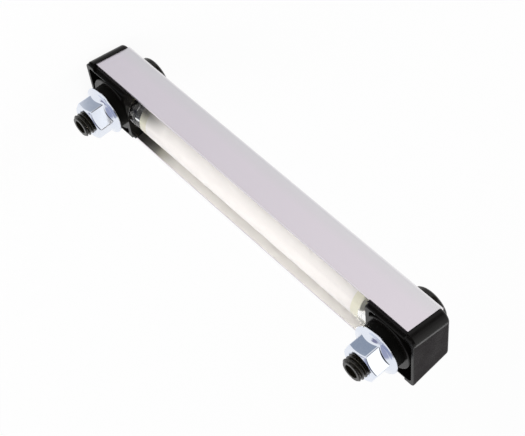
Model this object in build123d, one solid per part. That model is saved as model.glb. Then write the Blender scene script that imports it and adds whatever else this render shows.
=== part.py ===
from build123d import *
import math
import os

# Fluid level gauge with a thermometer, bolted to a tank wall by two hollow bolts.
# +Z runs along the gauge, +Y points into the tank, and the display looks along -Y.
# The origin lies midway between the bolts, in the plane where the seals meet the tank.
# All sizes are in millimetres.

# Tank side
bolt_spacing = 160.0
thread_diameter = 10.0
stud_length = 13.3
stud_chamfer = 0.8
seal_standout = 3.8
seal_outer_diameter = 19.0
seal_inner_diameter = 11.6
seal_seat_depth = 0.7
seal_edge_radius = 0.5

# End blocks
block_depth = 18.5
block_inward = 10.0
block_outward = 14.3
cap_overhang = 0.5
end_corner_radius = 4.4
front_edge_radius = 1.6
foot_height = 1.25
side_rim = 0.6
cap_foot_step = 1.4
foot_corner_radius = 2.0
rim_edge_radius = 0.25
boss_diameter = 24.0
boss_edge_radius = 0.5
boss_gap = 0.6
end_wall = 1.5
inner_wall = 2.0
pocket_depth = 7.0
pocket_corner_radius = 2.0
chamber_diameter = 12.4
chamber_height = 7.0
passage_diameter = 5.0

# Shroud
sheet = 1.0
shroud_end = 9.5
shroud_width = 31.7
shroud_rear_step = 2.1
flank_angle = 9.3
bend_radius = 0.6
window_width = 13.0
window_margin = 18.0
web_hole_diameter = 10.8

# Sight tube
tube_axis_depth = 9.0
tube_diameter = 17.0
tube_bore = 11.4
collar_diameter = 17.3
collar_length = 4.6
spigot_diameter = 15.2
spigot_length = 3.0
groove_start = 0.8
groove_width = 1.6
groove_depth = 1.1
squeeze_rounding = 0.45

# Hollow bolts
head_diameter = 16.6
head_height = 4.2
head_chamfer = 0.8
key_size = 6.0
key_depth = 4.6
bolt_bore = 4.1
cross_hole = 3.5
head_ring_outer = 15.2
head_ring_height = 1.6

# Flange nuts
nut_height = 9.5
nut_across_flats = 15.0
flange_diameter = 21.4
flange_rim = 1.1
flange_edge_chamfer = 0.35
flange_cone_height = 3.0
nut_chamfer_angle = 30.0
nut_mouth_chamfer = 0.6
nut_turn_upper = 9.5
nut_turn_lower = 7.7

# Thermometer and its backing strip
backing_thickness = 0.7
backing_angle = 200.0
holder_inset = 5.8
holder_length = 4.1
backing_bite = 3.0
flow_hole = 5.0
glass_diameter = 3.2
glass_length = 100.0
glass_end_radius = 1.45
bulb_diameter = 2.0
bulb_length = 9.0
capillary_diameter = 0.6
spirit_length = 46.0
clip_wall = 0.6
clip_length = 3.0
clip_inset = 12.0

# Clearances and cutter margins
running = 0.08
thread_play = 0.05
seat_play = 0.1
past = 1.0
near = 0.001

# Planes and axes worked out from the sizes above
bolt_z = bolt_spacing / 2
block_inner_end = bolt_z - block_inward
block_outer_end = bolt_z + block_outward
shroud_length = bolt_spacing + 2 * shroud_end
window_length = bolt_spacing - 2 * window_margin
holder_start = block_inner_end - holder_inset - holder_length
block_rear = -seal_standout
block_front = block_rear - block_depth
web_front = block_front - sheet
flank_rear = block_rear - shroud_rear_step
foot_base = block_rear - foot_height
pocket_width = boss_diameter + 2 * boss_gap
foot_width = pocket_width + 2 * side_rim
cap_foot_width = foot_width + 2 * cap_foot_step
tube_y = block_rear - tube_axis_depth
flank_slope = math.tan(math.radians(flank_angle))
thread_radius = thread_diameter / 2
bolt_hole_radius = thread_radius + running
head_front = web_front - head_height
sheet_across = sheet / math.cos(math.radians(flank_angle))
backing_outer = tube_bore / 2 - seat_play
backing_inner = backing_outer - backing_thickness
backing_half_length = holder_start + backing_bite
glass_y = tube_y + backing_inner - clip_wall - glass_diameter / 2
socket_radius = spigot_diameter / 2 + seat_play
socket_end = block_inner_end + spigot_length + seat_play


def outer_half_width(y):
    """Half the shroud's outside width at depth y."""
    return shroud_width / 2 - (flank_rear - y) * flank_slope


def inner_half_width(y):
    """Half the space between the shroud's flanks at depth y."""
    return outer_half_width(y) - sheet_across


def rod_y(radius, y_from, y_to, z=0.0):
    """A round bar along Y, at height z."""
    plane = Plane(origin=(0, y_from, z), x_dir=(1, 0, 0), z_dir=(0, 1, 0))
    return extrude(plane * Circle(radius), amount=y_to - y_from)


def rod_z(radius, z_from, z_to, y):
    """A round bar along Z, at depth y."""
    return extrude(Plane.XY.offset(z_from) * Pos(0, y) * Circle(radius), amount=z_to - z_from)


def turned_y(points):
    """A solid turned about the Y axis from (radius, y) points."""
    outline = make_face(Polyline(*[(r, y) for r, y in points], close=True))
    return revolve(outline, Axis.Y)


def turned_z(points, y):
    """A solid turned about an axis along Z at depth y, from (radius, z) points."""
    outline = make_face(Polyline(*[(r, z) for r, z in points], close=True))
    return Pos(0, y, 0) * revolve(Plane.XZ * outline, Axis.Z)


def trapezoid(half_width, y_rear, y_front):
    """A closed outline across the gauge that narrows towards the front."""
    corners = [
        (half_width(y_rear), y_rear),
        (half_width(y_front), y_front),
        (-half_width(y_front), y_front),
        (-half_width(y_rear), y_rear),
    ]
    return make_face(Polyline(*corners, close=True))


def round_front(face, y_front, radius):
    """Rounds the two front corners of an outline across the gauge."""
    corners = [v for v in face.vertices() if abs(v.Y - y_front) < near]
    return fillet(corners, radius)


def make_shroud():
    """A folded sheet channel with a window and two bolt holes in its front web."""
    outside = trapezoid(outer_half_width, flank_rear, web_front)
    outside = round_front(outside, web_front, bend_radius + sheet)
    inside = trapezoid(inner_half_width, flank_rear + past, block_front)
    inside = round_front(inside, block_front, bend_radius)
    body = extrude(outside - inside, amount=shroud_length / 2, both=True)
    window = Plane(origin=(0, web_front - past, 0), x_dir=(0, 0, 1), z_dir=(0, 1, 0))
    body -= extrude(window * SlotOverall(window_length, window_width), amount=sheet + 2 * past)
    for z in (-bolt_z, bolt_z):
        body -= rod_y(web_hole_diameter / 2, web_front - past, block_front + past, z=z)
    return body


def core_half_width(y):
    """Half the block's width at depth y, where it fits between the shroud's flanks."""
    return inner_half_width(y) - seat_play


def make_core():
    """The part of the block inside the shroud."""
    section = trapezoid(core_half_width, foot_base, block_front)
    section = Plane.XY.offset(block_inner_end) * round_front(section, block_front, front_edge_radius)
    return extrude(section, amount=shroud_length / 2 - block_inner_end)


def cap_half_width(y):
    """Half the width of the block's cap at depth y, a little more than the shroud's."""
    return outer_half_width(y) + cap_overhang


def make_cap():
    """The part of the block beyond the shroud, which covers the shroud's end.

    Its rounded corners may begin short of the shroud's end, so it is made longer and cut there.
    """
    z_from = min(block_outer_end - end_corner_radius, shroud_length / 2) - past
    section = Plane.XY.offset(z_from) * trapezoid(cap_half_width, foot_base, block_front)
    cap = extrude(section, amount=block_outer_end - z_from)
    end_edges = cap.edges().group_by(Axis.Z)[-1]
    cap = fillet([e for e in end_edges if abs(e.center().X) > past], end_corner_radius)
    front_face = cap.faces().sort_by(Axis.Y)[0]
    cap = fillet(front_face.edges().sort_by(Axis.Z)[1:], front_edge_radius)
    return split(cap, Plane.XY.offset(shroud_length / 2), keep=Keep.TOP)


def make_foot():
    """The narrower rear part of the block, which stands out past the shroud."""
    plane = Plane(origin=(0, foot_base, 0), x_dir=(1, 0, 0), z_dir=(0, 1, 0))
    corners = [
        (cap_foot_width / 2, -shroud_length / 2),
        (cap_foot_width / 2, -block_outer_end),
        (-cap_foot_width / 2, -block_outer_end),
        (-cap_foot_width / 2, -shroud_length / 2),
    ]
    outline = make_face(Polyline(*corners, close=True))
    outline = fillet(outline.vertices().group_by(Axis.Y)[0], foot_corner_radius)
    cap_foot = extrude(plane * outline, amount=foot_height)
    rear_face = cap_foot.faces().sort_by(Axis.Y)[-1]
    cap_foot = fillet(rear_face.edges().sort_by(Axis.Z)[1:], rim_edge_radius)
    core_length = shroud_length / 2 - block_inner_end
    core_centre = Pos(0, -block_inner_end - core_length / 2)
    return cap_foot + extrude(plane * core_centre * Rectangle(foot_width, core_length), amount=foot_height)


def make_block():
    """A moulded end block with a rear pocket, a bolt boss and a socket for the sight tube."""
    outer = make_core() + make_cap() + make_foot()
    z_from = block_inner_end + inner_wall
    z_to = block_outer_end - end_wall
    plane = Plane(origin=(0, block_rear - pocket_depth, 0), x_dir=(1, 0, 0), z_dir=(0, 1, 0))
    centre = Pos(0, -(z_from + z_to) / 2)
    pocket = extrude(
        plane * centre * RectangleRounded(pocket_width, z_to - z_from, pocket_corner_radius),
        amount=pocket_depth + past,
    )
    body = outer - pocket
    rims = body.edges().filter_by_position(Axis.Y, block_rear - near, block_rear + near)
    rims = rims.filter_by_position(Axis.Z, z_from - near, z_to + near)
    body = fillet([e for e in rims if abs(e.center().X) < pocket_width / 2 + near], rim_edge_radius)
    boss = rod_y(boss_diameter / 2, block_rear - pocket_depth - past, block_rear, z=bolt_z)
    body += fillet(boss.edges().group_by(Axis.Y)[-1], boss_edge_radius) & outer
    seat_radius = seal_outer_diameter / 2 + seat_play
    body -= rod_y(seat_radius, block_rear - seal_seat_depth, block_rear + past, z=bolt_z)
    body -= rod_y(bolt_hole_radius, block_front - past, block_rear + past, z=bolt_z)
    body -= rod_y(chamber_diameter / 2, tube_y - chamber_height / 2, tube_y + chamber_height / 2, z=bolt_z)
    body -= rod_y(head_ring_outer / 2, block_front - past, block_front + head_ring_height, z=bolt_z)
    body -= rod_z(socket_radius, block_inner_end - past, socket_end, tube_y)
    return body - rod_z(passage_diameter / 2, socket_end - past, bolt_z, tube_y)


def make_sight_tube():
    """A clear moulded tube with a collar and a grooved spigot at each end."""
    r_tube = tube_diameter / 2
    r_collar = collar_diameter / 2
    r_spigot = spigot_diameter / 2
    r_groove = r_spigot - groove_depth
    z_collar = block_inner_end - collar_length
    z_groove = block_inner_end + groove_start
    z_tip = block_inner_end + spigot_length
    half = [
        (tube_bore / 2, 0),
        (r_tube, 0),
        (r_tube, z_collar),
        (r_collar, z_collar + (r_collar - r_tube)),
        (r_collar, block_inner_end),
        (r_spigot, block_inner_end),
        (r_spigot, z_groove),
        (r_groove, z_groove),
        (r_groove, z_groove + groove_width),
        (r_spigot, z_groove + groove_width),
        (r_spigot, z_tip - seat_play),
        (r_spigot - seat_play, z_tip),
        (tube_bore / 2, z_tip),
    ]
    upper = turned_z(half, tube_y)
    return upper + upper.mirror(Plane.XY)


def squeezed_section(width, height):
    """The section of an O-ring pressed into a groove of this width and height."""
    return RectangleRounded(width, height, squeeze_rounding * min(width, height))


def make_tube_ring():
    """The O-ring in the sight tube's groove, squeezed to the socket's size."""
    width = socket_radius - (spigot_diameter / 2 - groove_depth)
    middle = socket_radius - width / 2
    z = block_inner_end + groove_start + groove_width / 2
    section = Plane.XZ * Pos(middle, z) * squeezed_section(width, groove_width)
    return Pos(0, tube_y, 0) * revolve(section, Axis.Z)


def make_bolt():
    """A hollow bolt: round head, key socket, shank, bore from the tip and a cross hole."""
    r_head = head_diameter / 2
    body = turned_y([
        (0, head_front),
        (r_head - head_chamfer, head_front),
        (r_head, head_front + head_chamfer),
        (r_head, web_front),
        (thread_radius, web_front),
        (thread_radius, stud_length - stud_chamfer),
        (thread_radius - stud_chamfer, stud_length),
        (0, stud_length),
    ])
    key = Plane(origin=(0, head_front - past, 0), x_dir=(1, 0, 0), z_dir=(0, 1, 0))
    body -= extrude(key * RegularPolygon(key_size / 2, 6, major_radius=False), amount=key_depth + past)
    body -= rod_y(bolt_bore / 2, tube_y - cross_hole, stud_length + past)
    return body - rod_z(cross_hole / 2, -thread_diameter, thread_diameter, tube_y)


def make_head_ring():
    """The O-ring under the bolt's head, in the recess in the block's front face."""
    inner = bolt_hole_radius
    width = head_ring_outer / 2 - inner
    centre = Pos(inner + width / 2, block_front + head_ring_height / 2)
    return revolve(centre * squeezed_section(width, head_ring_height), Axis.Y)


def make_tank_seal():
    """The flat rubber ring that seals a bolt hole in the tank wall."""
    y_from = block_rear - seal_seat_depth
    body = rod_y(seal_outer_diameter / 2, y_from, 0)
    body -= rod_y(seal_inner_diameter / 2, y_from - past, past)
    return fillet(body.edges().group_by(Axis.Y)[-1], seal_edge_radius)


def make_nut(turn):
    """A hexagon flange nut, its flange against the tank seal at rest."""
    r_flange = flange_diameter / 2
    r_flats = nut_across_flats / 2
    r_corners = r_flats / math.cos(math.radians(30))
    bevel = (r_corners - r_flats) * math.tan(math.radians(nut_chamfer_angle))
    flange = turned_y([
        (0, 0),
        (r_flange - flange_edge_chamfer, 0),
        (r_flange, flange_edge_chamfer),
        (r_flange, flange_rim),
        (r_flats, flange_cone_height),
        (0, flange_cone_height),
    ])
    plane = Plane(origin=(0, flange_rim / 2, 0), x_dir=(1, 0, 0), z_dir=(0, 1, 0))
    hexagon = Rot(0, 0, 30) * RegularPolygon(r_flats, 6, major_radius=False)
    body = extrude(plane * hexagon, amount=nut_height - flange_rim / 2)
    body &= turned_y([
        (0, 0),
        (r_corners + past, 0),
        (r_corners + past, nut_height - bevel - past * math.tan(math.radians(nut_chamfer_angle))),
        (r_flats, nut_height),
        (0, nut_height),
    ])
    body = flange + body
    r_hole = thread_radius + thread_play
    body -= rod_y(r_hole, -past, nut_height + past)
    for y, inward in ((0, 1), (nut_height, -1)):
        outside = y - inward * past
        inside = y + inward * nut_mouth_chamfer
        reach = r_hole + nut_mouth_chamfer + past
        body -= turned_y([(0, outside), (reach, outside), (r_hole, inside), (0, inside)])
    return Rot(0, turn, 0) * body


def backing_section(outer):
    """An arc-shaped section in the rear of the tube's bore, out to radius outer."""
    ring = Circle(outer) - Circle(backing_inner)
    half_angle = math.radians(backing_angle / 2)
    side = (3 * outer * math.sin(half_angle), 3 * outer * math.cos(half_angle))
    open_front = make_face(Polyline((0, 0), side, (0, -3 * outer), (-side[0], side[1]), close=True))
    return Pos(0, tube_y) * (ring - open_front)


def make_backing():
    """The white curved strip behind the thermometer, inside the sight tube."""
    return extrude(backing_section(backing_outer), amount=backing_half_length, both=True)


def make_holder():
    """A round insert in the tube's bore that holds one end of the backing strip."""
    body = rod_z(backing_outer, holder_start, holder_start + holder_length, tube_y)
    slot = Plane.XY.offset(holder_start) * backing_section(backing_outer + past)
    body -= extrude(slot, amount=backing_bite)
    return body - rod_z(flow_hole / 2, holder_start - past, holder_start + holder_length + past, tube_y)


def make_glass():
    """The thermometer's sealed glass tube, with its bulb and capillary hollow."""
    r = glass_diameter / 2
    half = glass_length / 2
    body = rod_z(r, -half, half, glass_y)
    body = fillet(body.edges(), glass_end_radius)
    return body - make_column(glass_length - 2 * r)


def make_column(length):
    """A bulb with a thin column above it, length tall in all."""
    bottom = -glass_length / 2 + glass_diameter / 2
    r_bulb = bulb_diameter / 2
    r_fine = capillary_diameter / 2
    shape = [
        (0, bottom),
        (r_bulb, bottom + r_bulb / 2),
        (r_bulb, bottom + bulb_length),
        (r_fine, bottom + bulb_length + 2 * r_bulb),
        (r_fine, bottom + length),
        (0, bottom + length),
    ]
    return turned_z(shape, glass_y)


def make_spirit():
    """The coloured spirit in the thermometer's bulb and capillary."""
    return make_column(spirit_length)


def make_clip(z):
    """A plastic clip that holds the thermometer glass against the backing strip."""
    radius = glass_diameter / 2 + clip_wall
    outer = Pos(0, glass_y) * Circle(radius)
    foot = Pos(0, glass_y + radius) * Rectangle(2 * radius, 2 * radius)
    outer += foot & (Pos(0, tube_y) * Circle(backing_inner))
    section = outer - Pos(0, glass_y) * Circle(glass_diameter / 2)
    return Pos(0, 0, z) * extrude(section, amount=clip_length / 2, both=True)


def both_ends(name, upper):
    """The same piece at the upper end and, mirrored, at the lower end."""
    return {"upper_" + name: upper, "lower_" + name: upper.mirror(Plane.XY)}


def make_all():
    """Every piece of the gauge, by name."""
    clip_z = glass_length / 2 - clip_inset
    parts = {
        "shroud": make_shroud(),
        "sight_tube": make_sight_tube(),
        "scale_backing": make_backing(),
        "thermometer_glass": make_glass(),
        "thermometer_spirit": make_spirit(),
        "upper_glass_clip": make_clip(clip_z),
        "lower_glass_clip": make_clip(-clip_z),
        "upper_flange_nut": Pos(0, 0, bolt_z) * make_nut(nut_turn_upper),
        "lower_flange_nut": Pos(0, 0, -bolt_z) * make_nut(nut_turn_lower),
    }
    parts.update(both_ends("end_block", make_block()))
    parts.update(both_ends("tube_ring", make_tube_ring()))
    parts.update(both_ends("backing_holder", make_holder()))
    parts.update(both_ends("tank_seal", Pos(0, 0, bolt_z) * make_tank_seal()))
    parts.update(both_ends("head_ring", Pos(0, 0, bolt_z) * make_head_ring()))
    parts.update(both_ends("hollow_bolt", Pos(0, 0, bolt_z) * make_bolt()))
    return parts


os.makedirs("parts", exist_ok=True)
for name, solid in make_all().items():
    export_step(solid, os.path.join("parts", name + ".step"))
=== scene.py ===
import math
import bmesh
import bpy
import numpy as np
from mathutils import Matrix, Vector


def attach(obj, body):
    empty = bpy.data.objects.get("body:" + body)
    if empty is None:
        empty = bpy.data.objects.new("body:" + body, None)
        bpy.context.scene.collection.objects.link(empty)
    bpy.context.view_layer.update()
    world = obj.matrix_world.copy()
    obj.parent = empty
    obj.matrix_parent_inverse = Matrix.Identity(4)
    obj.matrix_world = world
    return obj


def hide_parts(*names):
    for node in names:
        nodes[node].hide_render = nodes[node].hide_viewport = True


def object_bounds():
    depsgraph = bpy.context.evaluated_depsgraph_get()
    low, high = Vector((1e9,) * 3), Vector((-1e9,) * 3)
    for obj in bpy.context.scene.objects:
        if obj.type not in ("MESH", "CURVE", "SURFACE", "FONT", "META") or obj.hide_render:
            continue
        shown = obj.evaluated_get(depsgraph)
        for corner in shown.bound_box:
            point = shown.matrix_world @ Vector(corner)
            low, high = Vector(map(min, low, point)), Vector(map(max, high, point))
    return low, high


# Fluid level gauge with a thermometer, seen from its tank side.
# +Z runs along the gauge, +Y into the tank, and the display is towards -Y.
# Lengths are written in millimetres, and become metres in the meshes and shaders.

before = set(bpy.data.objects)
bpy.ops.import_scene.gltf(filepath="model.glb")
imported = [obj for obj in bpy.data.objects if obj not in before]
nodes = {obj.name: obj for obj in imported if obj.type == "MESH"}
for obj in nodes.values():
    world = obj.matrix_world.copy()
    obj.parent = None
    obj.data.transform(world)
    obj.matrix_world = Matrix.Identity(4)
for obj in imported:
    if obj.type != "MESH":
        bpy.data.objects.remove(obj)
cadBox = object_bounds()
mm = 0.001
sameSpot = 1e-8             # metres: vertices nearer to each other than this are one
sharpEdge = 35.0            # degrees: edges that turn less are shaded smooth
print("frame loaded")

gauge = {
    "boltHeight": 80.0,     # the bolts sit this far above and below the origin
    "tubeDepth": -12.8,     # y of the sight tube's axis
    "threadRadius": 5.0,
    "threadPitch": 1.5,
    "threadDepth": 0.9,
    "crestEnd": 0.07,       # in turns from the middle of the thread's crest
    "rootStart": 0.37,
}
ends = {"upper": 1, "lower": -1}


# Mesh helpers

def gridFaces(rows, columns, closed):
    # quads between neighbouring rows; the last column joins the first,
    # and in a closed grid the last row joins the first row too
    row = np.arange(rows if closed else rows - 1)[:, None]
    column = np.arange(columns)[None, :]
    after = (column + 1) % columns
    above = (row + 1) % rows
    corners = [row * columns + column, row * columns + after,
               above * columns + after, above * columns + column]
    return np.stack(corners, -1).reshape(-1, 4)


def fanFaces(ring, tip, forwards):
    # triangles from one ring of vertices to a single point
    after = np.roll(ring, -1)
    middle = np.full(len(ring), tip)
    order = [ring, after, middle] if forwards else [after, ring, middle]
    return np.stack(order, -1)


def surfaceObject(name, points, closed=False, poles=False, sharp=sharpEdge):
    # points is a grid (rows, columns, xyz) in millimetres; poles closes both ends on their centres
    rows, columns = points.shape[:2]
    vertices = points.reshape(-1, 3)
    faces = gridFaces(rows, columns, closed).tolist()
    if poles:
        first = points[0].mean(axis=0)
        last = points[-1].mean(axis=0)
        count = len(vertices)
        vertices = np.vstack([vertices, first, last])
        faces += fanFaces(np.arange(columns), count, False).tolist()
        faces += fanFaces(np.arange(count - columns, count), count + 1, True).tolist()
    mesh = bpy.data.meshes.new(name)
    mesh.from_pydata((vertices * mm).tolist(), [], faces)
    shell = bmesh.new()
    shell.from_mesh(mesh)
    bmesh.ops.remove_doubles(shell, verts=shell.verts, dist=sameSpot)
    bmesh.ops.recalc_face_normals(shell, faces=shell.faces)
    shell.to_mesh(mesh)
    shell.free()
    mesh.shade_smooth()
    mesh.set_sharp_from_angle(angle=math.radians(sharp))
    piece = bpy.data.objects.new(name, mesh)
    bpy.context.scene.collection.objects.link(piece)
    return piece


def turnedAboutY(radius, depth, angles, height):
    # x = r cos(a), z = height + r sin(a), y = depth, for grids of r and y over the angle a
    x = radius * np.cos(angles)
    z = height + radius * np.sin(angles)
    return np.stack([x, np.broadcast_to(depth, x.shape), z], -1)


def turnedAboutZ(radius, height, angles, depth):
    # x = r cos(a), y = depth + r sin(a), z = height
    x = radius * np.cos(angles)
    y = depth + radius * np.sin(angles)
    return np.stack([x, y, np.broadcast_to(height, x.shape)], -1)


def hexRadius(angles, flatRadius, corner):
    # distance to a hexagon's side: flat / cos(angle from the middle of the side),
    # with a corner at the angle given
    fromMiddle = np.mod(angles - corner, math.pi / 3) - math.pi / 6
    return flatRadius / np.cos(fromMiddle)


def threadRadius(depth, angles, crest, cut):
    # a right-hand thread: the distance from the crest, in turns, is that of y / pitch + a / (2 pi)
    # from a whole number; the flanks fall in a straight line between a flat crest and a flat root
    turns = depth / gauge["threadPitch"] + angles / (2 * math.pi)
    offCrest = np.abs(turns - np.round(turns))
    fall = (offCrest - gauge["crestEnd"]) / (gauge["rootStart"] - gauge["crestEnd"])
    return crest - cut * np.clip(fall, 0, 1)


def smoothStep(value, low, high):
    # 0 below low, 1 above high, 3t^2 - 2t^3 between
    t = np.clip((value - low) / (high - low), 0, 1)
    return t * t * (3 - 2 * t)


def stackRings(rings, angles, height):
    # rings are (radius, depth) pairs about the bolt's axis; each may vary with the angle
    radius = np.array([np.broadcast_to(r, angles.shape) for r, y in rings])
    depth = np.array([np.broadcast_to(y, angles.shape) for r, y in rings])
    return turnedAboutY(radius, depth, angles, height)


def latheAboutZ(name, profile, depth, columns=128, closed=True, sharp=sharpEdge):
    # a profile of (radius, height) points turned about an axis along Z
    angles = np.linspace(0, 2 * math.pi, columns, endpoint=False)
    radius = np.array([r for r, z in profile])[:, None] + 0 * angles
    height = np.array([z for r, z in profile])[:, None]
    points = turnedAboutZ(radius, height, angles, depth)
    return surfaceObject(name, points, closed=closed, poles=not closed, sharp=sharp)


# Hollow bolts: key socket, head, shank, thread, bored tip

bolt = {
    "headFront": -27.5,
    "headBack": -23.3,
    "headRadius": 8.3,
    "headChamfer": 0.8,
    "edgeBlend": 0.1,       # each edge of the chamfer is eased over this much to both sides
    "edgeDrop": 0.06,
    "faceRing": 5.6,        # one more ring on the head's flat front
    "backChamfer": 0.2,
    "keyFlat": 3.0,
    "keyDepth": 4.6,
    "keyChamfer": 0.25,
    "threadStart": -2.6,
    "threadLead": 0.1,      # one more ring on the shank, this far before the thread
    "threadRunIn": 1.8,     # the thread deepens over this length
    "tip": 13.3,
    "tipRadius": 4.2,
    "boreRadius": 2.05,
    "boreEnd": -16.3,
    "mouthRadius": 2.9,     # the bore is wider at the tip
    "mouthDepth": 1.6,
    "mouthChamfer": 0.15,
    "mouthCone": 0.4,
    "crossRadius": 1.75,
    "crossColumns": 48,
    "cutterReach": 1.0,     # out of the shank at both sides
    "columns": 120,
    "threadRows": 212,
}


def boltRings(angles):
    # from the key socket's floor over the head, along shank and thread to the tip, and back in
    # along the bore; at the tip the thread stays under the cone tipRadius + tip - y
    front, back = bolt["headFront"], bolt["headBack"]
    rim, bevel, nick = bolt["headRadius"], bolt["headChamfer"], bolt["backChamfer"]
    blend, drop, lip = bolt["edgeBlend"], bolt["edgeDrop"], bolt["keyChamfer"]
    shank, start, tip = gauge["threadRadius"], bolt["threadStart"], bolt["tip"]
    key = hexRadius(angles, bolt["keyFlat"], 0)
    rings = [(key, front + bolt["keyDepth"]), (key, front + lip), (key + lip, front)]
    rings += [(bolt["faceRing"], front), (rim - bevel - blend, front)]
    rings += [(rim - bevel + blend, front + drop), (rim - drop, front + bevel - blend)]
    rings.append((rim, front + bevel + blend))
    rings += [(rim, back - nick), (rim - nick, back), (shank, back)]
    rings.append((shank, start - bolt["threadLead"]))
    for depth in np.linspace(start, tip, bolt["threadRows"]):
        cut = gauge["threadDepth"] * smoothStep(depth, start, start + bolt["threadRunIn"])
        thread = threadRadius(depth, angles, shank, cut)
        rings.append((np.minimum(thread, bolt["tipRadius"] + tip - depth), depth))
    mouth, edge, bore = bolt["mouthRadius"], bolt["mouthChamfer"], bolt["boreRadius"]
    seat = tip - bolt["mouthDepth"]
    rings += [(mouth + edge, tip), (mouth, tip - edge), (mouth, seat), (bore, seat - bolt["mouthCone"])]
    rings.append((bore, bolt["boreEnd"]))
    return rings


def drillAcross(piece, height):
    # cuts the hole across the shank, along Z, through which the bore meets the sight tube
    reach = gauge["threadRadius"] + bolt["cutterReach"]
    profile = [(bolt["crossRadius"], height - reach), (bolt["crossRadius"], height + reach)]
    cutter = latheAboutZ("cutter", profile, gauge["tubeDepth"],
                         columns=bolt["crossColumns"], closed=False)
    drill = piece.modifiers.new("drill", "BOOLEAN")
    drill.object = cutter
    drill.operation = "DIFFERENCE"
    view = bpy.context.evaluated_depsgraph_get()
    mesh = bpy.data.meshes.new_from_object(piece.evaluated_get(view))
    piece.modifiers.clear()
    piece.data = mesh
    mesh.set_sharp_from_angle(angle=math.radians(sharpEdge))
    bpy.data.objects.remove(cutter)


def makeBolt(side):
    height = ends[side] * gauge["boltHeight"]
    angles = np.linspace(0, 2 * math.pi, bolt["columns"], endpoint=False)
    points = stackRings(boltRings(angles), angles, height)
    piece = surfaceObject(side + "ThreadedBolt", points, poles=True)
    drillAcross(piece, height)
    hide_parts(side + "_hollow_bolt")
    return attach(piece, side + "_bolt")


bolts = [makeBolt(side) for side in ends]
print("bolts threaded")


# Flange nuts: bearing face, flange, hexagon, chamfered top, threaded bore

nut = {
    "height": 9.5,
    "flatRadius": 7.5,
    "cornerLimit": 1.145,   # the corners are turned off at this many times flatRadius
    "cornerAngle": {"upper": 20.5, "lower": 22.3},
    "flangeRadius": 10.7,
    "flangeRim": 1.1,
    "bearingInset": 0.45,
    "rimRound": 0.6,
    "rimArc": (-60, 59),
    "outerSlope": 0.27,
    "innerSlope": 0.57,     # added inside the knee
    "kneeRadius": 9.32,
    "kneeBlend": 0.3,
    "faceShares": (0.12, 0.25, 0.4, 0.5, 0.6, 0.75, 0.9),   # rings on the flange, from rim to hexagon
    "footRound": 0.3,       # where the hexagon meets the flange
    "topRadius": 7.2,
    "topFall": 30.0,        # degrees
    "topGap": 0.1,          # keeps the flat inside the rounded edge
    "edgeRound": 0.7,
    "mouthRadius": 5.65,
    "mouthLand": 0.5,
    "threadPlay": 0.05,
    "sharp": 24.0,
    "arcSteps": 5,
    "columns": 240,
    "threadRows": 100,
}


def coneDepth(radius):
    # the flange's upper face: a flat slope at the rim and a steeper one inside the knee,
    # joined by the parabola (knee + w - r)^2 / 4w
    inward = nut["kneeRadius"] - radius
    blend = nut["kneeBlend"]
    curved = np.clip(inward + blend, 0, 2 * blend) ** 2 / (4 * blend)
    bent = np.where(inward > blend, inward, curved)
    outer = nut["outerSlope"] * (nut["flangeRadius"] - radius)
    return nut["flangeRim"] + outer + nut["innerSlope"] * bent


def topDepth(radius):
    # the top is flat out to topRadius and then falls in a straight line
    fall = math.tan(math.radians(nut["topFall"]))
    return nut["height"] - np.maximum(radius - nut["topRadius"], 0) * fall


def roundOver(radius, depth, bend, start, end):
    # an outer edge rounded by an arc: centre + bend * (cos t, sin t), t in degrees from start to end
    turn = np.radians(np.linspace(start, end, nut["arcSteps"]))
    return [(radius + bend * np.cos(t), depth + bend * np.sin(t)) for t in turn]


def flangeRings(side):
    # bearing face, rounded rim, upper face and the small fillet at the hexagon's foot
    rim, bend, foot = nut["flangeRadius"], nut["rimRound"], nut["footRound"]
    rings = [(nut["mouthRadius"], 0), (nut["flatRadius"], 0), (rim - nut["bearingInset"], 0)]
    rings += roundOver(rim - bend, bend, bend, *nut["rimArc"])
    for share in nut["faceShares"]:
        radius = rim - bend - share * (rim - bend - side - foot)
        rings.append((radius, coneDepth(radius)))
    rings += [(side + foot, coneDepth(side + foot)), (side + foot / 3, coneDepth(side) + foot / 5)]
    return rings + [(side, coneDepth(side) + foot), (side, coneDepth(side) + 1.5 * foot)]


def topRings(side):
    # the hexagon's edge is rounded by an arc that ends along the falling top
    high, edge = nut["height"], nut["edgeRound"]
    centre = topDepth(side) - edge * math.tan(math.radians(nut["topFall"]))
    rings = []
    for radius, depth in roundOver(side - edge, centre, edge, 0, 90 - nut["topFall"]):
        rings.append((radius, np.minimum(depth, high)))
    flat = np.minimum(nut["topRadius"], side - edge / 2 - nut["topGap"])
    return rings + [(flat, high), (nut["mouthRadius"] + nut["mouthLand"], high)]


def boreRings(angles):
    # the thread, cut back to a cone of 45 degrees at both mouths
    high, crest = nut["height"], gauge["threadRadius"] + nut["threadPlay"]
    rings = []
    for depth in np.linspace(high, 0, nut["threadRows"])[:-1]:
        thread = threadRadius(depth, angles, crest, gauge["threadDepth"])
        flare = nut["mouthRadius"] - min(depth, high - depth)
        rings.append((np.maximum(thread, flare), depth))
    return rings


def makeNut(side):
    corner = math.radians(nut["cornerAngle"][side])
    angles = corner + np.linspace(0, 2 * math.pi, nut["columns"], endpoint=False)
    hexagon = hexRadius(angles, nut["flatRadius"], corner)
    hexagon = np.minimum(hexagon, nut["flatRadius"] * nut["cornerLimit"])
    rings = flangeRings(hexagon) + topRings(hexagon) + boreRings(angles)
    points = stackRings(rings, angles, ends[side] * gauge["boltHeight"])
    piece = surfaceObject(side + "ThreadedNut", points, closed=True, sharp=nut["sharp"])
    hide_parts(side + "_flange_nut")
    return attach(piece, side + "_nut")


nuts = [makeNut(side) for side in ends]
print("nuts shaped")


# Sight tube: a turned clear wall with a collar and a grooved spigot at each end

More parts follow.
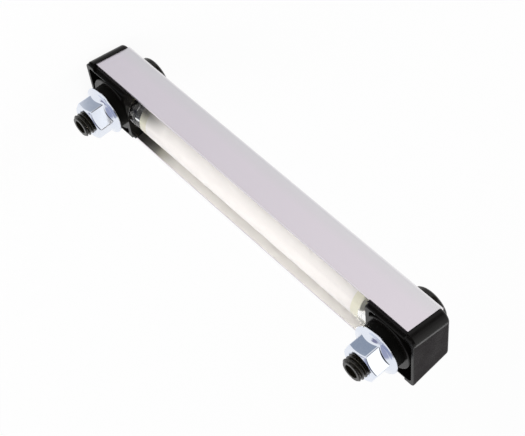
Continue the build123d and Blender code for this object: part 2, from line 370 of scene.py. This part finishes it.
tube = {
    "radius": 8.5,
    "bore": 5.7,
    "wallRing": 40.0,       # one more ring on the long walls
    "edge": 0.1,            # chamfers
    "collarRadius": 8.65,
    "collarStart": 65.4,
    "collarEnd": 70.0,
    "spigotRadius": 7.6,
    "spigotEnd": 73.0,
    "grooveRadius": 6.5,
    "grooveStart": 70.8,
    "grooveEnd": 72.4,
    "sharp": 30.0,
}


def tubeProfile():
    # up the bore, round the spigot, groove and collar, down the outside, and the same mirrored
    start, end, tip = tube["collarStart"], tube["collarEnd"], tube["spigotEnd"]
    collar, spigot, groove = tube["collarRadius"], tube["spigotRadius"], tube["grooveRadius"]
    bore, outer, edge, ring = tube["bore"], tube["radius"], tube["edge"], tube["wallRing"]
    half = [(bore, ring), (bore, tip), (spigot - edge, tip), (spigot, tip - edge)]
    half += [(spigot, tube["grooveEnd"]), (groove, tube["grooveEnd"]), (groove, tube["grooveStart"])]
    half += [(spigot, tube["grooveStart"]), (spigot, end), (collar - edge, end), (collar, end - edge)]
    half += [(collar, start + 2 * edge), (collar - edge / 2, start + edge / 2), (outer, start)]
    half.append((outer, ring))
    mirrored = [(r, -z) for r, z in reversed(half)]
    return half + [(outer, 0)] + mirrored + [(bore, 0)]


sightTube = latheAboutZ("clearTube", tubeProfile(), gauge["tubeDepth"], sharp=tube["sharp"])
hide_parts("sight_tube")
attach(sightTube, "housing")


# White strip and its cream inserts: tight against the bore, so no air gap mirrors at their edges

backing = {
    "outer": 5.71,
    "inner": 4.9,
    "halfAngle": 100.0,
    "halfLength": 60.1,
    "steps": 61,
    "insertLength": 4.1,
    "insertChamfer": 0.2,
    "flowRadius": 2.5,
}


def makeBacking():
    # an arc in the rear of the bore, out along one radius and back along the other, carried along Z;
    # at both ends the two radii meet, which closes it
    turn = np.linspace(-1, 1, backing["steps"]) * math.radians(backing["halfAngle"])
    around = np.concatenate([turn, turn[::-1]])
    side = np.repeat([0.5, -0.5], len(turn))[None, :]
    wall = backing["outer"] - backing["inner"]
    middle = (backing["outer"] + backing["inner"]) / 2
    radius = middle + np.array([0, 1, 1, 0])[:, None] * side * wall
    height = np.array([-1, -1, 1, 1])[:, None] * backing["halfLength"]
    x = radius * np.sin(around)
    y = gauge["tubeDepth"] + radius * np.cos(around)
    return surfaceObject("whiteBacking", np.stack([x, y, height + 0 * x], -1))


def makeInsert(side):
    near, far = backing["halfLength"], backing["halfLength"] + backing["insertLength"]
    hole, rim, edge = backing["flowRadius"], backing["outer"], backing["insertChamfer"]
    profile = [(hole, near), (rim, near), (rim, far - edge), (rim - edge, far), (hole, far)]
    turned = [(radius, ends[side] * height) for radius, height in profile]
    piece = latheAboutZ(side + "CreamInsert", turned, gauge["tubeDepth"])
    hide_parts(side + "_backing_holder")
    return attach(piece, "housing")


whiteBacking = makeBacking()
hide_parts("scale_backing")
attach(whiteBacking, "housing")
inserts = [makeInsert(side) for side in ends]


# Thermometer: the red spirit wets the glass, so it is a hair larger than the hollow that holds it

thermometer = {
    "axisDepth": -10.1,
    "bulbBottom": -48.4,
    "bottomCurve": ((0.3, 0.0), (0.7, 0.12)),   # radius, and height above the bottom
    "bottomHeight": 0.5,
    "bulbRadius": 1.01,
    "bulbLength": 9.0,
    "neckHeight": 1.8,      # above the bulb
    "neckEnd": 2.2,
    "columnRadius": 0.31,
    "columnEase": 0.1,
    "columnTop": -2.4,
    "topShare": 0.6,        # of the column's radius, at its very top
    "columns": 32,
}


def spiritProfile():
    # a rounded bottom, a straight bulb, a cone and the fine column
    low, wide, fine = thermometer["bulbBottom"], thermometer["bulbRadius"], thermometer["columnRadius"]
    top, ease = thermometer["columnTop"], thermometer["columnEase"]
    shoulder = low + thermometer["bulbLength"]
    points = [(radius, low + height) for radius, height in thermometer["bottomCurve"]]
    points += [(wide, low + thermometer["bottomHeight"]), (wide, shoulder)]
    points.append((fine + ease, shoulder + thermometer["neckHeight"]))
    points.append((fine, shoulder + thermometer["neckEnd"]))
    return points + [(fine, top - ease), (fine * thermometer["topShare"], top)]


spirit = latheAboutZ("redSpirit", spiritProfile(), thermometer["axisDepth"],
                     columns=thermometer["columns"], closed=False)
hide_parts("thermometer_spirit")
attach(spirit, "housing")
print("tube and thermometer turned")


# Printed scale: marks and numbers wrapped onto the hollow face of the backing strip

scale = {
    "inkRadius": 4.88,      # distance from the tube's axis to the print's face
    "inkDepth": 0.03,
    "zeroHeight": -20.0,    # z of 0 degrees Celsius
    "perDegree": 0.65,
    "stemAngle": 22.0,      # marks start beside the glass
    "longMark": 11.0,       # degrees round the tube's axis
    "shortMark": 6.0,
    "longWidth": 0.28,
    "shortWidth": 0.16,
    "markSteps": 8,
    "markSharp": 20.0,
    "textHeight": 2.3,
    "textAngle": 53.0,
    "fontShare": 1.35,      # font size for letters of height 1
    "fontSteps": 3,
    "headingHeight": 51.5,
}
# zero is what each unit reads at 0 degrees Celsius, and perCelsius is how many of its degrees
# make one degree Celsius
units = [
    {"sign": "°C", "side": -1, "zero": 0, "perCelsius": 1.0,
     "low": -20, "high": 100, "step": 2, "numberStep": 20},
    {"sign": "°F", "side": 1, "zero": 32, "perCelsius": 1.8,
     "low": 0, "high": 210, "step": 5, "numberStep": 40},
]


def wrapOnBacking(flat):
    # x runs along the arc of the strip, y along the gauge, z out of the strip towards the display
    angle = flat[:, 0] / scale["inkRadius"]
    radius = scale["inkRadius"] - flat[:, 2]
    x = radius * np.sin(angle)
    y = gauge["tubeDepth"] + radius * np.cos(angle)
    return np.stack([x, y, flat[:, 1]], -1)


def markBox(fromAngle, toAngle, height, width):
    # a thin box bent along the arc, as a closed loop of four corners carried through the steps
    turn = np.linspace(math.radians(fromAngle), math.radians(toAngle), scale["markSteps"])
    along = turn[:, None] * scale["inkRadius"]
    across = height + np.array([-width, width, width, -width])[None, :] / 2
    out = np.array([0, 0, 1, 1])[None, :] * scale["inkDepth"]
    flat = np.stack(np.broadcast_arrays(along, across, out), -1)
    return wrapOnBacking(flat.reshape(-1, 3)).reshape(flat.shape)


def heightOf(value, unit):
    # zeroHeight + perDegree * c, where c = (value - zero) / perCelsius is the value in Celsius
    celsius = (value - unit["zero"]) / unit["perCelsius"]
    return scale["zeroHeight"] + scale["perDegree"] * celsius


def joinPieces(name, pieces):
    bpy.ops.object.select_all(action="DESELECT")
    for piece in pieces:
        piece.select_set(True)
    bpy.context.view_layer.objects.active = pieces[0]
    bpy.ops.object.join()
    pieces[0].name = name
    return pieces[0]


def makeMarks():
    pieces = []
    for unit in units:
        for value in range(unit["low"], unit["high"] + 1, unit["step"]):
            kind = "long" if value % unit["numberStep"] == 0 else "short"
            start = unit["side"] * scale["stemAngle"]
            end = start + unit["side"] * scale[kind + "Mark"]
            points = markBox(start, end, heightOf(value, unit), scale[kind + "Width"])
            pieces.append(surfaceObject("mark", points, poles=True, sharp=scale["markSharp"]))
    return joinPieces("scaleMarks", pieces)


def makeWord(text, angle, height):
    curve = bpy.data.curves.new("word", "FONT")
    curve.body = text
    curve.size = scale["textHeight"] * scale["fontShare"]
    curve.align_x = "CENTER"
    curve.align_y = "CENTER"
    curve.resolution_u = scale["fontSteps"]
    curve.extrude = scale["inkDepth"] / 2
    holder = bpy.data.objects.new("word", curve)
    bpy.context.scene.collection.objects.link(holder)
    bpy.context.view_layer.update()
    mesh = bpy.data.meshes.new_from_object(holder)
    bpy.data.objects.remove(holder)
    flat = np.zeros(len(mesh.vertices) * 3)
    mesh.vertices.foreach_get("co", flat)
    place = [math.radians(angle) * scale["inkRadius"], height, scale["inkDepth"] / 2]
    flat = flat.reshape(-1, 3) + place
    mesh.vertices.foreach_set("co", (wrapOnBacking(flat) * mm).ravel())
    piece = bpy.data.objects.new("word", mesh)
    bpy.context.scene.collection.objects.link(piece)
    return piece


def makeNumbers():
    words = []
    for unit in units:
        for value in range(unit["low"], unit["high"] + 1, unit["numberStep"]):
            words.append(makeWord(str(value), unit["side"] * scale["textAngle"], heightOf(value, unit)))
    for unit in units:
        words.append(makeWord(unit["sign"], unit["side"] * scale["textAngle"], scale["headingHeight"]))
    return joinPieces("scaleNumbers", words)


scaleMarks = makeMarks()
scaleNumbers = makeNumbers()
for printed in (scaleMarks, scaleNumbers):
    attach(printed, "housing")
print("scale printed")


# Shader helpers

white = (1.0, 1.0, 1.0)
noiseMiddle = (0.3, 0.7)    # most of a noise lies between these


def feed(tree, socket, value):
    # a node's output is linked; a plain number or colour is set on the socket itself
    if isinstance(value, bpy.types.NodeSocket):
        tree.links.new(value, socket)
    elif isinstance(value, tuple):
        socket.default_value = (*value, 1)
    else:
        socket.default_value = value


def newMaterial(name, settings):
    material = bpy.data.materials.new(name)
    material.use_nodes = True
    tree = material.node_tree
    shader = tree.nodes["Principled BSDF"]
    for socket, value in settings.items():
        feed(tree, shader.inputs[socket], value)
    return material, tree, shader


def objectPoint(tree, stretch=(1, 1, 1)):
    # object coordinates, in metres, scaled for each axis
    source = tree.nodes.new("ShaderNodeTexCoord")
    mapping = tree.nodes.new("ShaderNodeMapping")
    mapping.inputs["Scale"].default_value = stretch
    tree.links.new(source.outputs["Object"], mapping.inputs["Vector"])
    return mapping.outputs["Vector"]


def noiseOf(tree, point, fineness, detail):
    noise = tree.nodes.new("ShaderNodeTexNoise")
    noise.inputs["Scale"].default_value = fineness
    noise.inputs["Detail"].default_value = detail
    tree.links.new(point, noise.inputs["Vector"])
    return noise.outputs["Fac"]


def mathOf(tree, operation, *values):
    node = tree.nodes.new("ShaderNodeMath")
    node.operation = operation
    for socket, value in zip(node.inputs, values):
        feed(tree, socket, value)
    return node.outputs[0]


def axisOf(tree, point, axis):
    split = tree.nodes.new("ShaderNodeSeparateXYZ")
    tree.links.new(point, split.inputs["Vector"])
    return split.outputs[axis]


def distanceOf(tree, first, second):
    # sqrt(a^2 + b^2)
    square = mathOf(tree, "MULTIPLY", first, first)
    square = mathOf(tree, "ADD", square, mathOf(tree, "MULTIPLY", second, second))
    return mathOf(tree, "SQRT", square)


def spread(tree, value, fromLow, fromHigh, toLow, toHigh):
    node = tree.nodes.new("ShaderNodeMapRange")
    limits = {"From Min": fromLow, "From Max": fromHigh, "To Min": toLow, "To Max": toHigh}
    for socket, number in limits.items():
        node.inputs[socket].default_value = number
    tree.links.new(value, node.inputs["Value"])
    return node.outputs["Result"]


def fade(tree, place, start, end, most=1.0):
    # 0 at start, rising in a straight line to most at end, both in millimetres
    return spread(tree, place, start * mm, end * mm, 0.0, most)


def beyond(tree, place, limit):
    # 1 where the place is past the limit, in millimetres
    return mathOf(tree, "GREATER_THAN", place, limit * mm)


def mixColours(tree, share, first, second):
    node = tree.nodes.new("ShaderNodeMix")
    node.data_type = "RGBA"
    for socket, value in (("Factor", share), ("A", first), ("B", second)):
        feed(tree, node.inputs[socket], value)
    return node.outputs["Result"]


def roughenBy(tree, shader, pattern, limits):
    # the roughness runs over its limits with the middle range of a noise
    rough = spread(tree, pattern, *noiseMiddle, *limits)
    tree.links.new(rough, shader.inputs["Roughness"])


def addBump(tree, shader, height, strength, depth):
    bump = tree.nodes.new("ShaderNodeBump")
    bump.inputs["Strength"].default_value = strength
    bump.inputs["Distance"].default_value = depth * mm
    tree.links.new(height, bump.inputs["Height"])
    tree.links.new(bump.outputs["Normal"], shader.inputs["Normal"])


# Materials

# In each look, a noise is its fineness per metre and its detail, rough is the range of
# roughness, and bump is its strength and its depth in millimetres.
sheetLook = {
    "anodised": (0.875, 0.81, 0.87),
    "shade": (0.857, 0.795, 0.853),
    "silver": (0.80, 0.80, 0.81),       # towards the bend the lilac fades
    "silverFrom": -15.5,
    "silverTo": -22.0,
    "silverShare": 0.75,
    "bare": (0.94, 0.93, 0.90),         # inside of the channel
    "dim": (0.30, 0.28, 0.25),          # painted shade on its lower end, where the block keeps the light away
    "dimFrom": -46.0,
    "dimTo": -67.0,
    "dimShare": 0.85,
    "cutEdge": (0.72, 0.67, 0.71),
    "edgeDepth": -5.92,
    "halfWidth": 15.85,                 # outside, at the rear edge
    "lean": 0.1638,                     # each flank leans in by this much for each unit of depth
    "halfSheet": 0.5,
    "webMiddle": -22.8,
    "grain": (9000, 2),
    "grainStretch": (1, 1, 0.02),
    "cloud": (40, 2),
    "rough": (0.30, 0.40),
    "bump": (0.12, 0.02),
}


def insideTheSheet(tree, point):
    # 1 on the channel's inner faces: behind the web, and more than half a sheet in from the
    # flank's outside, which lies at halfWidth + lean * (y - edgeDepth)
    depth = axisOf(tree, point, "Y")
    across = mathOf(tree, "ABSOLUTE", axisOf(tree, point, "X"))
    rear = mathOf(tree, "SUBTRACT", depth, sheetLook["edgeDepth"] * mm)
    leaned = mathOf(tree, "MULTIPLY", rear, sheetLook["lean"])
    flank = mathOf(tree, "ADD", leaned, sheetLook["halfWidth"] * mm)
    inward = beyond(tree, mathOf(tree, "SUBTRACT", flank, across), sheetLook["halfSheet"])
    return mathOf(tree, "MULTIPLY", inward, beyond(tree, depth, sheetLook["webMiddle"]))


def anodisedSheet():
    look = sheetLook
    material, tree, shader = newMaterial("anodisedSheet", {"Metallic": 1.0})
    point = objectPoint(tree)
    depth = axisOf(tree, point, "Y")
    grain = noiseOf(tree, objectPoint(tree, look["grainStretch"]), *look["grain"])
    cloud = noiseOf(tree, point, *look["cloud"])
    colour = mixColours(tree, cloud, look["anodised"], look["shade"])
    silver = fade(tree, depth, look["silverFrom"], look["silverTo"], look["silverShare"])
    colour = mixColours(tree, silver, colour, look["silver"])
    inside = insideTheSheet(tree, point)
    colour = mixColours(tree, inside, colour, look["bare"])
    # painted shade: the inside of the channel darkens towards its lower end
    low = fade(tree, axisOf(tree, point, "Z"), look["dimFrom"], look["dimTo"], look["dimShare"])
    colour = mixColours(tree, mathOf(tree, "MULTIPLY", inside, low), colour, look["dim"])
    colour = mixColours(tree, beyond(tree, depth, look["edgeDepth"]), colour, look["cutEdge"])
    tree.links.new(colour, shader.inputs["Base Color"])
    roughenBy(tree, shader, grain, look["rough"])
    addBump(tree, shader, grain, *look["bump"])
    return material


plasticLook = {
    "shine": {"IOR": 1.34, "Specular IOR Level": 0.3},
    "black": (0.0030, 0.0026, 0.0024),
    "dusty": (0.0055, 0.0048, 0.0045),
    "spark": (2600, 2),
    "cloud": (160, 4),
    "rough": (0.15, 0.28),
    "bump": (0.2, 0.03),
}


def mouldedBlack():
    look = plasticLook
    material, tree, shader = newMaterial("mouldedBlack", look["shine"])
    point = objectPoint(tree)
    cloud = noiseOf(tree, point, *look["cloud"])
    colour = mixColours(tree, cloud, look["black"], look["dusty"])
    tree.links.new(colour, shader.inputs["Base Color"])
    roughenBy(tree, shader, cloud, look["rough"])
    addBump(tree, shader, noiseOf(tree, point, *look["spark"]), *look["bump"])
    return material


steelLook = {
    "shine": {"IOR": 1.4, "Specular IOR Level": 0.45},
    "black": (0.008, 0.007, 0.0045),
    "worn": (0.05, 0.046, 0.036),
    "wornFrom": 4.85,       # thread crests, by distance from the bolt's axis
    "wornTo": 5.0,
    "threadEnd": 5.2,       # no wear further out, on the head's rim
    "cloud": (1200, 4),
    "rough": (0.16, 0.32),
    "bump": (0.15, 0.04),
}


def blackenedSteel():
    look = steelLook
    material, tree, shader = newMaterial("blackenedSteel", look["shine"])
    point = objectPoint(tree)
    height = mathOf(tree, "ABSOLUTE", axisOf(tree, point, "Z"))
    fromBolt = mathOf(tree, "SUBTRACT", height, gauge["boltHeight"] * mm)
    radius = distanceOf(tree, fromBolt, axisOf(tree, point, "X"))
    cloud = noiseOf(tree, point, *look["cloud"])
    crest = fade(tree, radius, look["wornFrom"], look["wornTo"])
    onThread = mathOf(tree, "LESS_THAN", radius, look["threadEnd"] * mm)
    worn = mathOf(tree, "MULTIPLY", mathOf(tree, "MULTIPLY", crest, onThread), cloud)
    colour = mixColours(tree, worn, look["black"], look["worn"])
    tree.links.new(colour, shader.inputs["Base Color"])
    roughenBy(tree, shader, cloud, look["rough"])
    addBump(tree, shader, cloud, *look["bump"])
    return material


zincLook = {
    "bright": (0.80, 0.83, 0.90),
    "blue": (0.73, 0.78, 0.88),
    "cloud": (420, 4),
    "fine": (3000, 3),
    "rough": (0.06, 0.18),
    "bump": (0.06, 0.03),
}


def zincPlate():
    look = zincLook
    material, tree, shader = newMaterial("zincPlate", {"Metallic": 1.0})
    point = objectPoint(tree)
    fine = noiseOf(tree, point, *look["fine"])
    colour = mixColours(tree, noiseOf(tree, point, *look["cloud"]), look["bright"], look["blue"])
    tree.links.new(colour, shader.inputs["Base Color"])
    roughenBy(tree, shader, fine, look["rough"])
    addBump(tree, shader, fine, *look["bump"])
    return material


rubberLook = {
    "shine": {"Roughness": 0.55, "IOR": 1.3, "Specular IOR Level": 0.2},
    "black": (0.0012, 0.0011, 0.0008),
    "grey": (0.0022, 0.0021, 0.0016),
    "grain": (1800, 4),
    "bump": (0.3, 0.04),
}


def sealRubber():
    look = rubberLook
    material, tree, shader = newMaterial("sealRubber", look["shine"])
    grain = noiseOf(tree, objectPoint(tree), *look["grain"])
    colour = mixColours(tree, grain, look["black"], look["grey"])
    tree.links.new(colour, shader.inputs["Base Color"])
    addBump(tree, shader, grain, *look["bump"])
    return material


clearLook = {
    "body": {"Base Color": (0.995, 0.995, 0.99), "Transmission Weight": 1.0, "IOR": 1.49},
    "flow": (300, 2),
    "flowStretch": (1, 1, 0.1),
    "rough": (0.01, 0.05),
    "bump": (0.05, 0.05),
}


def clearPlastic():
    look = clearLook
    material, tree, shader = newMaterial("clearPlastic", look["body"])
    flow = noiseOf(tree, objectPoint(tree, look["flowStretch"]), *look["flow"])
    roughenBy(tree, shader, flow, look["rough"])
    addBump(tree, shader, flow, *look["bump"])
    return material


glassLook = {
    "body": {"Base Color": (0.98, 0.99, 0.99), "Transmission Weight": 1.0, "IOR": 1.47},
    "draw": (900, 2),
    "drawStretch": (1, 1, 0.03),
    "rough": (0.0, 0.03),
}


def drawnGlass():
    look = glassLook
    material, tree, shader = newMaterial("drawnGlass", look["body"])
    draw = noiseOf(tree, objectPoint(tree, look["drawStretch"]), *look["draw"])
    roughenBy(tree, shader, draw, look["rough"])
    return material


tintLooks = {
    "whiteStrip": {"base": (0.98, 0.94, 0.92), "mottle": (0.97, 0.93, 0.905), "roughness": 0.4},
    "creamInsert": {"base": (0.863, 0.836, 0.685), "mottle": (0.845, 0.815, 0.66), "roughness": 0.4},
    "redDye": {"base": (0.62, 0.02, 0.02), "mottle": (0.55, 0.015, 0.015), "roughness": 0.2},
    "blackInk": {"base": (0.012, 0.012, 0.013), "mottle": (0.02, 0.02, 0.021), "roughness": 0.5},
}
tintPattern = {
    "cloud": (500, 3),
    "fine": (3000, 2),
    "bump": (0.1, 0.03),
}


def tinted(name):
    look = tintLooks[name]
    material, tree, shader = newMaterial(name, {"Roughness": look["roughness"]})
    point = objectPoint(tree)
    cloud = noiseOf(tree, point, *tintPattern["cloud"])
    tree.links.new(mixColours(tree, cloud, look["base"], look["mottle"]), shader.inputs["Base Color"])
    addBump(tree, shader, noiseOf(tree, point, *tintPattern["fine"]), *tintPattern["bump"])
    return material


endShade = {
    "colour": (0.06, 0.055, 0.04),
    "clearHeight": -50.0,
    "darkHeight": -62.0,
    "clearSide": 0.6,
    "darkSide": 4.3,
    "outside": 5.5,         # only the face against the tube, by distance from its axis
}


def shadedEnd(material):
    # darkens the lower end on the +X side, where block and flank keep the light away
    tree = material.node_tree
    shader = tree.nodes["Principled BSDF"]
    below = shader.inputs["Base Color"].links[0].from_socket
    point = objectPoint(tree)
    across = axisOf(tree, point, "X")
    low = fade(tree, axisOf(tree, point, "Z"), endShade["clearHeight"], endShade["darkHeight"])
    beside = fade(tree, across, endShade["clearSide"], endShade["darkSide"])
    rearward = mathOf(tree, "SUBTRACT", axisOf(tree, point, "Y"), gauge["tubeDepth"] * mm)
    outerFace = beyond(tree, distanceOf(tree, across, rearward), endShade["outside"])
    dark = mathOf(tree, "MULTIPLY", mathOf(tree, "MULTIPLY", low, beside), outerFace)
    tree.links.new(mixColours(tree, dark, below, endShade["colour"]), shader.inputs["Base Color"])
    return material


sheetMetal = anodisedSheet()
blackPlastic = mouldedBlack()
blackSteel = blackenedSteel()
zinc = zincPlate()
rubber = sealRubber()
clear = clearPlastic()
glass = drawnGlass()
whitePlastic = shadedEnd(tinted("whiteStrip"))
creamPlastic = shadedEnd(tinted("creamInsert"))
redSpirit = tinted("redDye")
blackInk = tinted("blackInk")

nodeLooks = {
    "shroud": sheetMetal,
    "thermometer_glass": glass,
    "end_block": blackPlastic,
    "tube_ring": rubber,
    "tank_seal": rubber,
    "head_ring": rubber,
    "glass_clip": whitePlastic,
}


def wear(piece, material):
    if not piece.material_slots:
        piece.data.materials.append(material)
    for place in piece.material_slots:
        place.material = material


for name, node in nodes.items():
    stem = name.replace("upper_", "").replace("lower_", "")
    if stem in nodeLooks:
        wear(node, nodeLooks[stem])
for piece in bolts:
    wear(piece, blackSteel)
for piece in nuts:
    wear(piece, zinc)
for piece in inserts:
    wear(piece, creamPlastic)
for piece in (scaleMarks, scaleNumbers):
    wear(piece, blackInk)
wear(sightTube, clear)
wear(whiteBacking, whitePlastic)
wear(spirit, redSpirit)
print("materials assigned")


# Camera: the photograph's place, direction and roll

camera = {
    "place": (433.564, 173.556, 268.928),
    "right": (-0.08454, -0.74541, 0.66122),
    "down": (-0.58657, 0.57366, 0.57171),
    "lens": 96.07,
    "sensor": 36.0,
    "clipStart": 10.0,
}


def makeCamera():
    data = bpy.data.cameras.new("camera")
    data.lens = camera["lens"]
    data.sensor_width = camera["sensor"]
    data.clip_start = camera["clipStart"] * mm
    holder = bpy.data.objects.new("camera", data)
    bpy.context.scene.collection.objects.link(holder)
    right = Vector(camera["right"]).normalized()
    up = -Vector(camera["down"])
    up = (up - up.dot(right) * right).normalized()
    turn = Matrix((right, up, right.cross(up))).transposed()
    holder.matrix_world = Matrix.Translation(Vector(camera["place"]) * mm) @ turn.to_4x4()
    bpy.context.scene.camera = holder


makeCamera()


# Studio: pale floor, soft lamps, and a white room with darker and lighter places to mirror

studio = {
    "floorSize": 3.0,       # metres from the middle to each side
    "floor": (0.95, 0.95, 0.95),
    "glow": 0.93,           # share of plain white in the floor as seen, the rest keeps the shadow
    "surround": 0.70,       # strength for diffuse rays
    "throughGlass": 1.25,   # and for those that leave through the clear tube, which holds light back
}

# A patch lies in its direction from the gauge. It shows from the angle whose cosine is edge,
# and is full within the one whose cosine is full.
roomPatches = [             # seen by glossy rays alone
    {"direction": (0.57, -0.55, -0.61), "colour": (0.76, 0.76, 0.76), "edge": 0.90, "full": 0.99},
    {"direction": (0.66, -0.325, -0.675), "colour": (0.31, 0.355, 0.43), "edge": 0.97, "full": 0.992},
    {"direction": (-0.88, -0.38, 0.28), "colour": (0.28, 0.26, 0.27), "edge": 0.945, "full": 0.985},
    {"direction": (0.88, -0.38, 0.30), "colour": (0.04, 0.035, 0.035), "edge": 0.90, "full": 0.95},
    {"direction": (0.62, -0.34, 0.70), "colour": (0.10, 0.10, 0.12), "edge": 0.97, "full": 0.985},
    {"direction": (0.15, 0.45, 0.88), "colour": (0.03, 0.03, 0.035), "edge": 0.89, "full": 0.94},
    {"direction": (-0.05, 0.95, 0.29), "colour": (0.38, 0.40, 0.54), "edge": 0.90, "full": 0.96},
    {"direction": (0.14, 0.95, -0.28), "colour": (0.22, 0.22, 0.34), "edge": 0.975, "full": 0.993},
    {"direction": (-0.67, -0.38, 0.64), "colour": (4.0, 4.0, 4.0), "edge": 0.985, "full": 0.995},
    {"direction": (0.0, -0.38, 0.92), "colour": (1.35, 1.35, 1.33), "edge": 0.90, "full": 0.94},
]
tubeGlow = [                # lights the strip, from beyond the lower end and from the display side
    {"direction": (-0.35, 0.45, -0.82), "colour": (4.0, 3.95, 3.9), "edge": 0.86, "full": 0.95},
    {"direction": (0.0, -1.0, 0.1), "colour": (2.6, 2.6, 2.6), "edge": 0.60, "full": 0.90},
]


def anyRay(tree, path, kinds):
    # 1 for a ray of any of these kinds
    found = path.outputs[kinds[0]]
    for kind in kinds[1:]:
        found = mathOf(tree, "MAXIMUM", found, path.outputs[kind])
    return found


def mixShaders(tree, share, first, second):
    node = tree.nodes.new("ShaderNodeMixShader")
    for socket, value in zip(node.inputs, (share, first, second)):
        feed(tree, socket, value)
    return node.outputs[0]


def floorMaterial():
    # matt, but mostly plain white as the camera, metal and glass see it
    material = bpy.data.materials.new("paleFloor")
    material.use_nodes = True
    tree = material.node_tree
    tree.nodes.clear()
    output = tree.nodes.new("ShaderNodeOutputMaterial")
    matt = tree.nodes.new("ShaderNodeBsdfDiffuse")
    feed(tree, matt.inputs["Color"], studio["floor"])
    glow = tree.nodes.new("ShaderNodeEmission")
    feed(tree, glow.inputs["Color"], white)
    path = tree.nodes.new("ShaderNodeLightPath")
    seen = anyRay(tree, path, ("Is Camera Ray", "Is Glossy Ray", "Is Transmission Ray"))
    share = mathOf(tree, "MULTIPLY", seen, studio["glow"])
    tree.links.new(mixShaders(tree, share, matt.outputs[0], glow.outputs[0]), output.inputs["Surface"])
    return material


def makeFloor():
    half = studio["floorSize"]
    low = cadBox[0].z
    corners = [(-half, -half, low), (half, -half, low), (half, half, low), (-half, half, low)]
    mesh = bpy.data.meshes.new("floor")
    mesh.from_pydata(corners, [], [(0, 1, 2, 3)])
    floor = bpy.data.objects.new("floor", mesh)
    bpy.context.scene.collection.objects.link(floor)
    floor.data.materials.append(floorMaterial())
    floor.visible_glossy = False
    floor.visible_transmission = False


def patchedRoom(tree, patches):
    # white, with each patch laid over what is there already
    direction = tree.nodes.new("ShaderNodeTexCoord").outputs["Generated"]
    colour = white
    for patch in patches:
        toPatch = tree.nodes.new("ShaderNodeVectorMath")
        toPatch.operation = "DOT_PRODUCT"
        toPatch.inputs[1].default_value = Vector(patch["direction"]).normalized()
        tree.links.new(direction, toPatch.inputs[0])
        share = spread(tree, toPatch.outputs["Value"], patch["edge"], patch["full"], 0.0, 1.0)
        colour = mixColours(tree, share, colour, patch["colour"])
    return colour


def backgroundOf(tree, colour, strength):
    shader = tree.nodes.new("ShaderNodeBackground")
    feed(tree, shader.inputs["Color"], colour)
    feed(tree, shader.inputs["Strength"], strength)
    return shader.outputs[0]


def makeSurround():
    # camera and transmission rays see plain white, glossy rays the patches, and the rest soft light;
    # a transmission ray that has met a matt surface has come out of the tube, and sees tubeGlow
    world = bpy.data.worlds.new("surround")
    bpy.context.scene.world = world
    world.use_nodes = True
    tree = world.node_tree
    tree.nodes.clear()
    output = tree.nodes.new("ShaderNodeOutputWorld")
    path = tree.nodes.new("ShaderNodeLightPath")
    fromTube = mathOf(tree, "GREATER_THAN", path.outputs["Diffuse Depth"], 0.5)
    strength = spread(tree, fromTube, 0.0, 1.0, 1.0, studio["throughGlass"])
    colour = mixColours(tree, fromTube, white, patchedRoom(tree, tubeGlow))
    plain = backgroundOf(tree, colour, strength)
    soft = backgroundOf(tree, white, studio["surround"])
    mirrored = backgroundOf(tree, patchedRoom(tree, roomPatches), 1.0)
    bounced = mixShaders(tree, path.outputs["Is Glossy Ray"], soft, mirrored)
    seen = anyRay(tree, path, ("Is Camera Ray", "Is Transmission Ray"))
    tree.links.new(mixShaders(tree, seen, bounced, plain), output.inputs["Surface"])


lamps = {                   # places and sizes in metres
    "tankSide": {"place": (0.40, 0.75, 0.40), "size": 0.5, "power": 3.5},
    "displaySide": {"place": (0.10, -0.90, 0.35), "size": 0.5, "power": 2.0},
}


def makeLamps():
    for name, lamp in lamps.items():
        data = bpy.data.lights.new(name, "AREA")
        data.shape = "SQUARE"
        data.size = lamp["size"]
        data.energy = lamp["power"]
        holder = bpy.data.objects.new(name, data)
        bpy.context.scene.collection.objects.link(holder)
        holder.visible_glossy = False
        place = Vector(lamp["place"])
        aim = place.to_track_quat("Z", "Y").to_matrix().to_4x4()
        holder.matrix_world = Matrix.Translation(place) @ aim


makeFloor()
makeSurround()
makeLamps()
bpy.context.scene.view_settings.view_transform = "Standard"
print("studio ready")
